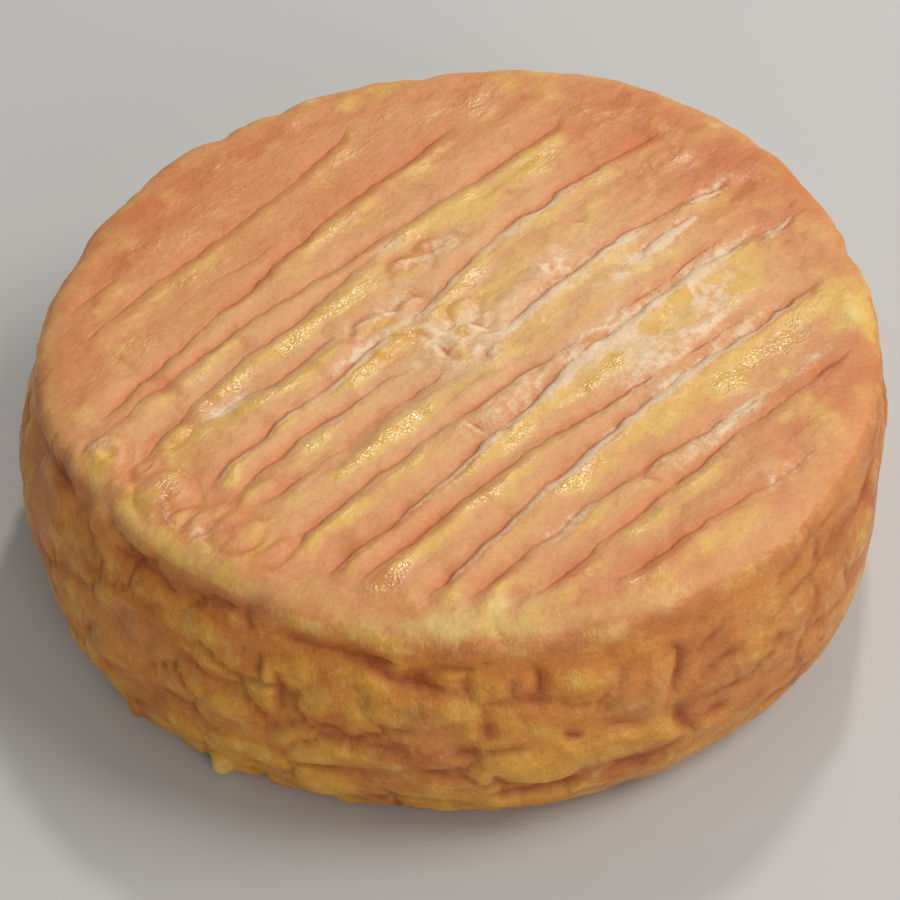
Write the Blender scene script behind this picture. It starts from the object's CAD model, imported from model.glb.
"""The finished rind of a whole soft washed-rind cheese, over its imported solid.

The cheese is a low round. Its top carries long soft folds that run along X, cut by
short cracks, and its wall sags into lumps and creases under a rounded lip. One closed
mesh replaces the solid. Sizes are in millimetres and angles in degrees, and a point
becomes metres when the mesh is written. Masks that say where the rind is ochre, rusty,
bloomed or wet are worked out with the shape and travel with the mesh as attributes.
"""

import logging
import math
from dataclasses import dataclass, field
from enum import Enum
from typing import Any

import bpy
import numpy as np
from mathutils import Matrix, Vector


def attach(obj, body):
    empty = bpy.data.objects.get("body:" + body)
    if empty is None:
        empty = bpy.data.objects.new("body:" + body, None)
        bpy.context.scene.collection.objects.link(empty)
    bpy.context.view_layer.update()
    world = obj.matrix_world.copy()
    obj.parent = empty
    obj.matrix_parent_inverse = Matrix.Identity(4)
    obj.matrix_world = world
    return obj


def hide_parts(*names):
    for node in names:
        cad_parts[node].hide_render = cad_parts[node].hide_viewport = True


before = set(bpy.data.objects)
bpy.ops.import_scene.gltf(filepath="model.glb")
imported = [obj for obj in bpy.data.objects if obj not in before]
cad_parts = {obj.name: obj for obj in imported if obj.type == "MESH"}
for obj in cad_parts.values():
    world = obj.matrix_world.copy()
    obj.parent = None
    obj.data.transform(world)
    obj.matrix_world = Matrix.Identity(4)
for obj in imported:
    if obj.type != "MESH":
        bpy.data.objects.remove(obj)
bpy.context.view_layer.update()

LOG = logging.getLogger("cheese")
MM = 0.001
FLAT = np.array([1.0, 1.0, 0.0])
Array = np.ndarray
Sizes = tuple[float, float, float]
Faces = list[tuple[int, ...]]


class Mask(Enum):
    """The masks that travel with the rind's mesh."""

    OCHRE = "ochre"
    WARM = "warm"
    SIDE = "side"
    LINE = "line"
    EDGE = "edge"
    BLOOM = "bloom"
    VEIL = "veil"
    PINK = "pink"
    CREAM = "cream"
    WALL = "wall"
    BROWN = "brown"
    WET = "wet"


@dataclass(frozen=True)
class Crease:
    """A crease of the rind, from one end to the other.

    On the top the places are X and Y. On the wall they are an angle and a height.
    """

    x0: float
    y0: float
    x1: float
    y1: float
    bow: float = 0.0
    skew: float = 0.0
    depth: float = 0.5
    line: float = 0.5
    white: float = 0.0


@dataclass(frozen=True)
class Patch:
    """A soft oval spot: its middle, its half widths and how much it adds."""

    x: float
    y: float
    wide: float
    high: float
    amount: float


@dataclass(frozen=True)
class Swell:
    """A broad swell or notch of the outline, at an angle and a height."""

    angle: float
    height: float
    half_width: float
    half_height: float
    rise: float


@dataclass(frozen=True)
class RimSpot:
    """A place on the rim: its angle, its half width in degrees and its strength."""

    angle: float
    half_width: float
    amount: float


@dataclass(frozen=True)
class Wave:
    """A ripple along a crease: its strength, its length and which phase it takes."""

    strength: float
    length: float
    phase: int


def rows(kind: type, *values: tuple[float, ...]) -> tuple[Any, ...]:
    """Return an object of one kind for each row of values."""
    return tuple(kind(*row) for row in values)


TOP_CREASES = rows(
    Crease,
    (-36, 30, 22, 38.6, -0.5, 0.9, 0.5, 0.6), (-31, 36.2, -20, 37.5, 0, 0, 0.25, 0.3),
    (-24, 27.2, 0, 27.4, 0.3, 0, 0.25, 0.3), (-42, 18.3, 32, 27, 2.1, -0.5, 0.8, 1),
    (-46, 16, 43, 17, 2, 0.8, 0.8, 0.8, 0.25), (-43, 9, 10, 17, 1.6, 0.7, 0.7, 0.7, 0.3),
    (-31, 9.8, -9, 9.3, -0.9, 0, 0.75, 1, 0.5), (-9.6, 9.3, -3.4, 8.9, -0.9, 0, 0.45, 0.55, 0.7),
    (-4.2, 9.2, -1.8, 5.4, 0.7, 0, 0.5, 0.5, 0.6), (-40, 0.8, -5, 4.8, 0.5, 0.3, 0.8, 0.9, 1),
    (-41, -3.2, -6.5, -2.2, 1.8, 0, 0.65, 0.9, 0.35), (-38, -5.7, -4, -5.4, 0.1, 0, 0.75, 0.9, 0.9),
    (-34, -8.2, -1, -8.3, 2, 0, 0.55, 0.5, 0.3), (-1.4, -8.8, 1.2, -5.4, 0.5, 0, 0.32, 0.7, 0.8),
    (0.4, -6, 46, -8.8, 3.1, 0, 1, 1, 1), (-4, 3.6, 49, 5, 3.3, 0.3, 0.85, 0.9, 0.5),
    (-42, -13, 12, -14.2, 2, 0, 0.85, 0.8, 0.4), (-40, -18.5, 45, -18.6, 2.8, -0.9, 1.2, 0.9, 1),
    (13, -14.3, 37, -15, 0.2, 0, 0.4, 1), (-39, -22, 14, -25.5, 2, 0, 0.8, 1, 0.1),
    (-35, -29, 38, -29.6, 2.6, 0, 1, 0.9, 0.9), (10, -25, 29, -26.6, 0.2, 0, 0.45, 0.9),
    (-33, -32.3, 22, -38, 1.9, 0, 0.7, 0.7, 0.4), (-27, -37.3, 30, -39.5, 0.6, 0, 0.6, 0.9, 0.35),
    (-20, -42, 14, -46.8, -0.2, 0, 0.45, 0.8),
)

TOP_CRACKS = rows(
    Crease,
    (-46, 9, -39, 9.4, -0.7, 0.3, 0.35, 0.6), (-46.5, -0.2, -39, -0.6, 0.7, 0.3, 0.35, 0.6),
    (-45, -3.2, -40, -2.9, -0.5, 0, 0.3, 0.5), (-44, -8.6, -39, -9.4, -0.8, 0.2, 0.3, 0.6),
    (-43, -12.8, -38, -12.4, 0.4, 0, 0.25, 0.4), (-11.5, -11.8, -10.4, -16.8, 0.5, 0.2, 0.5, 0.9, 0.6),
    (-4, 3.2, -4.5, -5.5, 0.6, 0.3, 0.45, 0.6, 0.9), (0.4, 10.2, 2.1, 4.8, 0.5, 0.2, 0.35, 0.7, 0.4),
    (2, 14.5, 12.4, 11.4, -0.7, 0.3, 0.35, 0.6, 0.5), (24.6, 13.2, 23.4, 11.3, 0.2, 0, 0.3, 0.6, 0.4),
    (0.8, -0.3, 3.4, -5.2, 0.5, 0.2, 0.28, 0.6, 0.8),
    (18.1, -0.3, 15.8, -4.8, -0.5, 0.2, 0.35, 0.7, 0.6),
    (-4.6, -33.3, -2.9, -37.8, 0.2, 0, 0.35, 0.4, 0.6), (-8.6, -16.8, -8, -18.3, 0, 0, 0.35, 0.4, 0.6),
    (24.8, 3, 27.4, 0.2, 0.3, 0, 0.3, 0.6, 0.5), (24.5, -9.2, 38, -8.6, 0.3, 0.3, 0.25, 0.45, 0.6),
    (36, -18.8, 49, -19.6, 0.1, 0, 0.35, 0.6, 0.5), (-28.6, -6.4, -24.2, -7.2, 0.2, 0, 0.4, 0.9, 0.3),
)

CRACKED_ZONES = rows(
    Patch,
    (0, 0.5, 7, 6.5, 0.65), (9, 11.5, 10, 2.6, 0.6), (8, -14.8, 13, 2, 0.8), (16, -3.5, 12, 2, 0.5),
    (24, -18.5, 10, 2.6, 0.5), (3, -24, 10, 1.8, 0.45), (-12, -14.5, 9, 1.8, 0.5),
    (-12, 6.5, 6, 2, 0.45), (-3, -35, 12, 2.4, 0.4), (26, -9, 9, 1.8, 0.4), (-43, 14, 3.5, 4, 0.5),
    (-44, -2, 3, 9, 0.55),
)

TOP_LUMPS = rows(
    Patch,
    (-43, 13.4, 0.9, 1.1, -0.5), (-45.6, -10, 1.6, 2.6, 0.4), (-31, 17.8, 1.3, 2.6, -0.4),
    (-32, 24, 1.2, 2, -0.25), (-19.6, 17.2, 1, 1.7, -0.35), (-29.2, 9, 1.2, 3.6, -0.25),
    (-17, 6, 1, 2.6, -0.25), (-38.5, -17, 4.5, 3.4, -0.4), (-33, 4, 3.6, 8, 0.3),
    (-23, 4.5, 3.6, 5, 0.25), (-30, 30.5, 6, 3, 0.35), (-36.5, 22, 3, 2.2, 0.3), (12, -2, 7, 1.8, 0.35),
    (12, 9, 5, 2.2, 0.35), (-14, 6.4, 4, 1.5, 0.35), (-27, 6.4, 4, 1.5, 0.25), (-6, -10.5, 5, 1.2, 0.3),
    (-1.5, 1, 1.8, 1.5, 0.3), (30, -10.5, 6, 1.6, 0.25), (36, -36, 3, 3, 0.45), (0, -44, 12, 2.5, 0.3),
)

RINGED_LUMPS = rows(
    Patch,
    (-43.2, 13.4, 2.7, 2.7, 0.6), (-45.6, 8.6, 1.7, 1.6, 0.4), (-41.3, 8.4, 1.7, 1.2, 0.35),
    (-43, 3.4, 3.5, 3.5, 0.62), (-42.4, -2.2, 3.1, 1.3, 0.42), (-41.3, -6.4, 3, 2.7, 0.48),
    (-41, -11.6, 2.9, 1.3, 0.38), (-36.2, 10.6, 2.9, 1.5, 0.18), (-35.6, -3.6, 3, 1.2, 0.2),
    (-7, 7.3, 2.9, 1.2, 0.28), (-7.6, 2.4, 2.9, 1.5, 0.3), (-1.6, -2.8, 1.6, 1.9, 0.3),
    (3.4, 0.7, 2.6, 1.5, 0.3), (-0.6, 6.6, 2.3, 1.4, 0.28), (4.6, 12.6, 2.4, 1.3, 0.3),
    (9.4, 13, 2, 1.1, 0.3), (9, -15.6, 2.2, 1, 0.3),
)

BLOOM_PATCHES = rows(
    Patch,
    (-28.3, 9.6, 3, 0.9, 1), (-10, 4.6, 6.5, 0.8, 0.7), (-0.5, -2, 5, 4.5, 0.3),
    (6.5, 15.8, 3, 0.8, 0.85), (-2, 8, 6, 2, 0.35), (15, -5.8, 17, 1, 0.8), (28, -9.4, 9, 1.4, 0.6),
    (20, -16.7, 16, 1.3, 1), (-4, -17.6, 14, 1, 0.6), (11.5, -20.5, 5.5, 3.6, 0.6),
    (19, -23.6, 6, 1.2, 0.6), (26, -21.5, 6, 2.5, 0.45), (8, -27.4, 18, 1.2, 0.8),
    (10, -36.3, 8.5, 1.3, 0.65), (25, -37, 3.5, 0.8, 0.6), (7, -46, 5, 1, 0.5), (-15, -32.8, 4, 1, 0.6),
    (41.5, -7.6, 3.8, 0.9, 0.85), (41.5, -18.8, 2.4, 0.7, 0.85), (22, 6, 13, 1, 0.35),
    (18, -1, 7, 2.6, 0.3),
)

CREAM_SPOTS = rows(
    Patch,
    (-34.6, -31.2, 1.5, 1.1, 0.45), (-32.2, -33.2, 1.4, 1.1, 0.5), (-29.2, -35.4, 1.5, 1, 0.95),
    (-27, -37.8, 1.6, 0.9, 0.5), (-40.2, -27.4, 0.9, 1.4, 0.45), (-38.2, -30.4, 1.1, 1.3, 0.55),
    (34.2, -36.2, 1.3, 1.1, 1.2), (36.2, -33.8, 1, 1.2, 0.6), (24.5, -11.3, 0.9, 0.6, 1.1),
    (28.6, -11.8, 1.3, 0.5, 0.6), (20.5, 46.3, 1.2, 1, 0.8), (53.5, 0.5, 0.8, 1.2, 0.7),
)

OCHRE_PATCHES = rows(
    Patch,
    (-4, -10.2, 9, 1.3, 0.75), (14, -11.8, 15, 1.7, 0.6), (14, 0.5, 10, 2.6, 0.6),
    (20, 14, 8, 2.4, 0.75), (16.5, -18.6, 2.2, 2, 0.9), (23, -18.6, 2.4, 1.8, 0.9),
    (30, -22, 4.2, 2.4, 0.95), (33.5, -18.2, 3, 1.2, 0.6), (8.5, -19.2, 2.4, 1.4, 0.8),
    (2.5, -20.4, 3.4, 1.3, 0.8), (20, -21.6, 3, 1.2, 0.5), (10, -31.5, 20, 2, 0.6),
    (-14, -19.8, 14, 1.3, 0.75), (-13, 3, 9, 1.3, 0.65), (-14, 11.5, 9, 1.2, 0.45),
    (-26, 6.5, 9, 1.4, 0.3), (-20, -9, 12, 1.1, 0.4), (-6, 6.8, 5, 1.2, 0.45), (-6, 18, 12, 1.6, 0.3),
    (36, -36.5, 5, 6, 0.95), (-46.2, 5.8, 1.8, 2, 0.95), (-47.4, -2, 1.4, 4, 0.7),
    (-45, 14, 1.4, 2.6, 0.7), (-41.2, -11.2, 2.4, 0.9, 0.8), (-45.6, -10, 1.2, 2.4, 0.6),
    (-36, 4, 2.6, 3, 0.45), (-35, -3.6, 3, 1.6, 0.55), (30, 41, 8, 3, 0.45), (44, 26, 4, 8, 0.35),
    (36, 8, 10, 1.4, 0.25), (-10, -47, 12, 1.6, 0.12),
)

PINK_PATCHES = rows(
    Patch,
    (-43.4, 2.8, 2.4, 2.2, 1), (-41.8, -6.4, 2.6, 2, 0.8), (-31, 18, 1.6, 3, 0.8),
    (-43, 13, 0.9, 1.1, 0.9), (-38.4, 1, 1.4, 9, 0.6), (-5, 42, 30, 9, 0.7), (14, 28, 26, 6, 0.55),
    (-30, 26, 12, 6, 0.35), (44, 8, 10, 14, 1), (46, -12, 8, 8, 0.9), (22, -42, 12, 5, 0.7),
    (-16, -45, 9, 3, 0.45), (-36, -26, 4, 3, 0.4), (-20, -38, 10, 5, 0.35), (-26, -20, 10, 5, 0.25),
    (-34, -16, 7, 4, 0.35), (-36, 2, 4, 8, 0.3), (0, 24, 20, 2, 0.3), (-5, -46, 14, 4, 0.4),
    (10, -36, 14, 8, 0.15),
)

WET_PATCHES = rows(
    Patch,
    (-9, 12.6, 5, 1.2, 0.9), (-16, 11.5, 3, 1.2, 0.6), (-30, 11.8, 7, 1.8, 0.9), (-23, 7, 4, 1.2, 0.8),
    (7, 3.3, 6, 1.2, 0.6), (-14, 1.8, 6, 1.2, 0.9), (-22, -2.3, 5, 1.2, 0.8), (-20, -8.5, 8, 1.3, 0.9),
    (0.5, -10.3, 4, 1, 1), (-20, -12.5, 5, 1.2, 0.6), (-16, -19.2, 9, 1.2, 1), (-3, -20.3, 6, 1, 1),
    (3, -21, 4, 1, 0.9), (9, -19.8, 3, 0.8, 0.7), (-17.5, -23.2, 4, 1.2, 0.8), (-8, -28.8, 5, 1.2, 0.9),
    (-33, -23.8, 3, 1.5, 0.7), (-15, -44, 6, 1.6, 0.4), (-43, 4, 3, 4, 0.45), (-34, 1, 4, 5, 0.35),
    (20, -32, 10, 2, 0.5), (28, -24.5, 5, 1.6, 0.5),
)

WALL_CREASES = rows(
    Crease,
    (148, 26.2, 164, 28.6, 0.5, 0, 0.7, 0.9), (172, 27.3, 187, 27.6, -0.2, 0, 0.6, 0.8),
    (200, 27.5, 221.5, 23.8, 0.9, 0.3, 0.75, 1), (199, 25, 200.4, 17.2, 1.2, 0, 0.7, 0.7),
    (187, 20.3, 195.5, 19.2, -0.2, 0, 0.45, 0.6), (204, 17.4, 219.5, 16.8, -0.9, 0.3, 0.75, 0.8),
    (216.6, 15.4, 225.5, 11.4, -1.1, 0, 0.6, 0.6), (221.5, 15.7, 226.2, 15.3, 0, 0, 0.5, 0.7),
    (231.8, 27, 231.8, 22.2, 0.2, 0, 0.75, 0.8), (226.9, 21, 226.5, 17.6, 0.2, 0, 0.6, 0.7),
    (228, 13.4, 229.6, 8.6, -0.3, 0, 0.6, 0.7), (225, 8.6, 240, 9.7, -0.8, 0, 0.8, 0.9),
    (239, 9.6, 252, 9.9, -0.1, 0, 0.6, 0.6), (234.6, 17.5, 238.4, 17, 0, 0, 0.5, 0.9),
    (239, 18.5, 245.4, 16.4, 0.5, 0, 0.4, 0.5), (247.6, 27, 248, 19, 0.6, 0.3, 0.65, 0.8),
    (247.8, 19.6, 251.2, 11.8, -0.4, 0, 0.8, 0.8), (250.6, 22.3, 257.2, 26.2, -0.3, 0, 0.5, 0.7),
    (252, 13.4, 258.4, 13.1, 0.1, 0, 0.55, 0.8), (270, 24.1, 298, 24, 0.2, 0, 0.35, 0.4),
    (271.7, 26.8, 271.4, 24.3, 0, 0, 0.45, 0.6), (206, 11.5, 214, 9, 0.5, 0, 0.4, 0.35),
    (181, 13.6, 193, 11, 0.5, 0, 0.4, 0.4), (262, 7, 276, 9.2, 0.4, 0, 0.4, 0.4),
    (276, 18.6, 289, 16.6, -0.6, 0, 0.35, 0.35), (261, 20.6, 268, 15, 0.5, 0, 0.4, 0.4),
    (160, 17, 172, 19.8, 0.6, 0, 0.4, 0.4),
)

WALL_LUMPS = rows(
    Patch,
    (217, 21.6, 5.5, 2, 0.45), (229, 24.8, 2.2, 1.9, 0.45), (237, 25, 3.5, 1.9, 0.4),
    (243, 14, 6, 2.4, 0.45), (246.3, 21, 1.3, 5, 0.4), (196.8, 23.8, 2.2, 1.3, -0.45),
    (254.4, 19.5, 3, 4, -0.3), (209, 20.6, 5.5, 2, 0.35), (193, 15.5, 8, 2.6, 0.35),
    (233, 12.4, 4, 2, 0.35), (211, 13.6, 5, 1.8, 0.3), (264, 24.5, 4, 2.2, 0.35),
    (283, 20.5, 5, 2.2, 0.25), (191.6, 2.6, 1.2, 1.6, 1.3), (177.6, 3.6, 1.1, 1.3, 0.7),
)

RIM_NOTCHES = rows(
    RimSpot,
    (85, 2.4, 0.9), (74.5, 2.2, 0.6), (50, 2.2, 0.9), (120, 2.6, 0.5), (143, 2.4, 0.5), (166, 2, 0.5),
    (-6, 2.2, 0.5), (-33, 2.4, 0.8), (-52, 2.2, 0.4),
)

OUTLINE_SWELLS = rows(
    Swell,
    (277, 8, 14, 8, 0.9), (173, 4, 12, 5, 0.5), (156, 10, 7, 5, -0.5), (298, 16, 8, 6, -0.6),
    (22, 31, 14, 6, 0.8), (92, 31, 9, 6, 1.2), (68, 31, 6, 6, 0.7), (358, 31, 9, 6, 0.5),
    (322, 31, 8, 6, -0.4),
)

PINCHES = rows(Wave, (0.26, 4.3, 4), (0.15, 1.9, 5), (0.08, 0.8, 3))

WANDERINGS = rows(Wave, (1.0, 1.9, 0), (0.6, 0.8, 1))

PALE_LIP = rows(
    RimSpot,
    (180, 45, 0.35), (223, 9, 0.7), (242, 7, 0.6), (315, 14, 0.3), (20, 25, 0.35), (75, 25, 0.35),
    (125, 20, 0.25),
)


def unit(value: Array) -> Array:
    """Return a value kept from 0 to 1."""
    return np.clip(value, 0.0, 1.0)


def ramp(value: Array) -> Array:
    """Return a smooth step from 0 to 1 over the unit interval."""
    t = unit(value)
    return t * t * (3.0 - 2.0 * t)


def bell(value: Array) -> Array:
    """Return a bell of height 1 and half width 1."""
    return np.exp(-value * value)


def near(value: Array, middle: float, half_width: float | Array) -> Array:
    """Return a bell of height 1 round a middle value."""
    return bell((value - middle) / half_width)


def dome(value: Array) -> Array:
    """Return a dome of height 1 and half width 1, flatter on top than a bell."""
    return np.exp(-value ** 4)


def facing(degrees: Array, middle: float, half_width: float) -> Array:
    """Return a bell of height 1 round a middle angle, in degrees."""
    return bell(((degrees - middle + 180.0) % 360.0 - 180.0) / half_width)


def patch_sum(x: Array, y: Array, patches: tuple[Patch, ...]) -> Array:
    """Add up soft oval patches.

    Args:
        x: First coordinate of each point.
        y: Second coordinate of each point.
        patches: The patches to add.

    Returns:
        The sum at each point.
    """
    total = np.zeros_like(x)
    for patch in patches:
        total += patch.amount * near(x, patch.x, patch.wide) * near(y, patch.y, patch.high)
    return total


def lump_sum(x: Array, y: Array, patches: tuple[Patch, ...]) -> Array:
    """Add up oval lumps with rounded shoulders.

    Args:
        x: First coordinate of each point.
        y: Second coordinate of each point.
        patches: The lumps to add.

    Returns:
        The sum at each point.
    """
    total = np.zeros_like(x)
    for patch in patches:
        total += patch.amount * dome(np.hypot((x - patch.x) / patch.wide, (y - patch.y) / patch.high))
    return total


def ringed_sum(x: Array, y: Array, patches: tuple[Patch, ...]) -> tuple[Array, Array]:
    """Add up plump lumps that each stand in a narrow furrow of their own.

    Args:
        x: First coordinate of each point.
        y: Second coordinate of each point.
        patches: The lumps to add.

    Returns:
        The rise of the lumps and the strength of the furrows at each point.
    """
    rise = np.zeros_like(x)
    furrow = np.zeros_like(x)
    for patch in patches:
        reach = np.hypot((x - patch.x) / patch.wide, (y - patch.y) / patch.high)
        across = (reach - 1.12) * min(patch.wide, patch.high) / 0.45
        rise += patch.amount * dome(reach)
        furrow = np.maximum(furrow, bell(across))
    return rise, furrow


class LatticeNoise:
    """Smooth seeded noise from random values on a cubic lattice that repeats."""

    def __init__(self, seed: int, cells: int = 48) -> None:
        """Draw the lattice's values.

        Args:
            seed: Seed of the random draw.
            cells: Number of lattice cells before the noise repeats.
        """
        self.cells = cells
        self.table = np.random.default_rng(seed).uniform(-1.0, 1.0, (cells, cells, cells))

    def at(self, place: Array, sizes: Sizes) -> Array:
        """Return noise from -1 to 1.

        Args:
            place: X, Y and Z of each point.
            sizes: Size of a lattice cell along each axis.

        Returns:
            The noise at each point.
        """
        scaled = place / np.array(sizes)
        low = np.floor(scaled).astype(int)
        part = scaled - low
        part = part * part * part * (part * (part * 6.0 - 15.0) + 10.0)
        total = np.zeros(len(place))
        for corner in range(8):
            step = np.array([corner & 1, corner >> 1 & 1, corner >> 2 & 1])
            weight = np.prod(np.where(step == 1, part, 1.0 - part), axis=-1)
            i, j, k = ((low + step) % self.cells).T
            total += weight * self.table[i, j, k]
        return total


class CellCracks:
    """Cracks round plump cells that lie roughly in rows, from seeded cell middles."""

    def __init__(self, seed: int, wide: float, high: float, cells: int = 64) -> None:
        """Draw the middles of the cells.

        Args:
            seed: Seed of the random draw.
            wide: Width of a cell in millimetres.
            high: Height of a cell in millimetres.
            cells: Number of cells before the pattern repeats.
        """
        self.size = (wide, high)
        self.cells = cells
        self.middles = np.random.default_rng(seed).uniform(0.1, 0.9, (cells, cells, 2))

    def at(self, x: Array, y: Array) -> Array:
        """Return the distance to the nearest border between cells, in millimetres.

        Args:
            x: First coordinate of each point.
            y: Second coordinate of each point.

        Returns:
            The distance at each point.
        """
        place = np.stack([x / self.size[0], y / self.size[1]], axis=-1)
        low = np.floor(place).astype(int)
        first = np.full(len(x), np.inf)
        second = first.copy()
        for step in np.ndindex(3, 3):
            cell = low + np.array(step) - 1
            i, j = (cell % self.cells).T
            reach = np.hypot(*(place - cell - self.middles[i, j]).T)
            second = np.minimum(second, np.maximum(first, reach))
            first = np.minimum(first, reach)
        return 0.5 * (second - first) * self.size[1]


@dataclass
class CreaseMarks:
    """What a set of creases leaves at each point of the rind."""

    cut: Array
    lip: Array
    warm: Array
    side: Array
    line: Array
    edge: Array
    crown: Array
    pull_x: Array
    pull_y: Array
    tip: Array

    def nearer(self, other: "CreaseMarks") -> tuple[Array, Array, Array]:
        """Return side, line and edge of whichever set of creases lies closer.

        Args:
            other: What the other set of creases leaves.

        Returns:
            Side, line and edge at each point, faded where both sets lie as close.
        """
        ours = np.abs(self.side) < np.abs(other.side)
        clear = ramp((np.abs(np.abs(self.side) - np.abs(other.side)) - 0.4) / 0.6)
        clear = clear * ramp((np.minimum(self.tip, other.tip) - 0.5) / 0.7)
        side = np.where(ours, self.side, other.side)
        line = np.where(ours, self.line, other.line)
        edge = np.where(ours, self.edge, other.edge)
        return side, clear * line, clear * edge


@dataclass
class CreaseField:
    """A set of creases that share one profile, from a gentle to a steep side."""

    creases: tuple[Crease, ...]
    seed: int
    gentle: float = 1.75
    steep: float = 0.70
    fade: float = 6.0
    stretch: float = 1.0
    wander: float = 0.10
    lip_rise: float = 0.42
    lip_side: float = -1.55
    crown_side: float = -1.9
    crown_widths: tuple[float, float] = (1.1, 1.9)
    warm_side: float = 0.3
    warm_width: float = 0.65
    side_limit: float = 3.0

    def read(self, x: Array, y: Array) -> CreaseMarks:
        """Measure every crease at each point and blend what they leave.

        Args:
            x: First coordinate, in millimetres or in degrees of the wall.
            y: Second coordinate in millimetres.

        Returns:
            The marks at each point.
        """
        rng = np.random.default_rng(self.seed)
        cut, lip, warm, line, edge, crown, pull_x, pull_y = np.zeros((8, len(x)))
        nearest = np.full_like(x, self.side_limit)
        rival = np.full_like(x, self.side_limit)
        tip = np.full_like(x, self.side_limit)
        for crease in self.creases:
            phases = rng.uniform(0.0, 2.0 * math.pi, 6)
            t, side, length, normal = self.measure(crease, x, y, phases)
            reach = min(self.fade, 0.4 * length) / length
            fade = ramp(t / reach) * ramp((1.0 - t) / reach)
            along = t * length
            pinch = np.full_like(x, 0.80)
            for wave in PINCHES:
                pinch += wave.strength * np.sin(along / wave.length + phases[wave.phase])
            depth = crease.depth * fade * pinch
            away = np.abs(side)
            slope = np.where(side > 0.0, away / self.gentle, (away / self.steep) ** 1.25)
            cut += (depth * np.exp(-slope)) ** 3
            lip = np.maximum(lip, self.lip_rise * depth * bell(side - self.lip_side))
            strength = fade * np.clip(pinch + 0.1, 0.0, 1.2)
            reach = np.where(side > self.warm_side, self.warm_width, 0.5 * self.warm_width)
            warm = np.maximum(warm, crease.line * strength * near(side, self.warm_side, reach))
            reach = np.where(side > self.crown_side, *self.crown_widths)
            crown = np.maximum(crown, strength * near(side, self.crown_side, reach))
            tip = np.minimum(tip, np.hypot(np.minimum(np.abs(along), np.abs(length - along)), side))
            present = fade > 0.05
            closer = (away < np.abs(nearest)) & present
            rival = np.where(closer, np.abs(nearest), np.where(present, np.minimum(rival, away), rival))
            close = 1.0 - ramp((away - 1.3) / 0.7)
            nearest = np.where(closer, side, nearest)
            line = np.where(closer, crease.line * strength * close, line)
            edge = np.where(closer, crease.white * strength * close, edge)
            pull = 0.45 * side * bell(side / 0.9) * fade
            pull_x = np.where(closer, pull * normal[0], pull_x)
            pull_y = np.where(closer, pull * normal[1], pull_y)
        gap = rival - np.abs(nearest)
        clear = ramp((gap - 0.6) / 0.8) * ramp((tip - 0.5) / 0.7)
        apart = ramp((gap - 0.2) / 0.6)
        return CreaseMarks(np.cbrt(cut), lip, warm, nearest, line * clear, edge * clear, crown,
                           pull_x * apart, pull_y * apart, tip)

    def measure(self, crease: Crease, x: Array, y: Array,
                phases: Array) -> tuple[Array, Array, float, tuple[float, float]]:
        """Measure one crease at each point.

        Args:
            crease: The crease.
            x: First coordinate of each point.
            y: Second coordinate of each point.
            phases: Random phases of its small wanderings.

        Returns:
            The part of the way along it, the distance to its left, its length and its normal.
        """
        along_x = (crease.x1 - crease.x0) * self.stretch
        along_y = crease.y1 - crease.y0
        length = math.hypot(along_x, along_y)
        ux, uy = along_x / length, along_y / length
        px = (x - crease.x0) * self.stretch
        py = y - crease.y0
        t = (px * ux + py * uy) / length
        side = py * ux - px * uy - crease.bow * 4.0 * t * (1.0 - t)
        side -= crease.skew * np.sin(2.0 * math.pi * t)
        for wave in WANDERINGS:
            ripple = np.sin(t * length / wave.length + phases[wave.phase])
            side -= wave.strength * self.wander * ripple
        return t, side, length, (-uy, ux)


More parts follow.
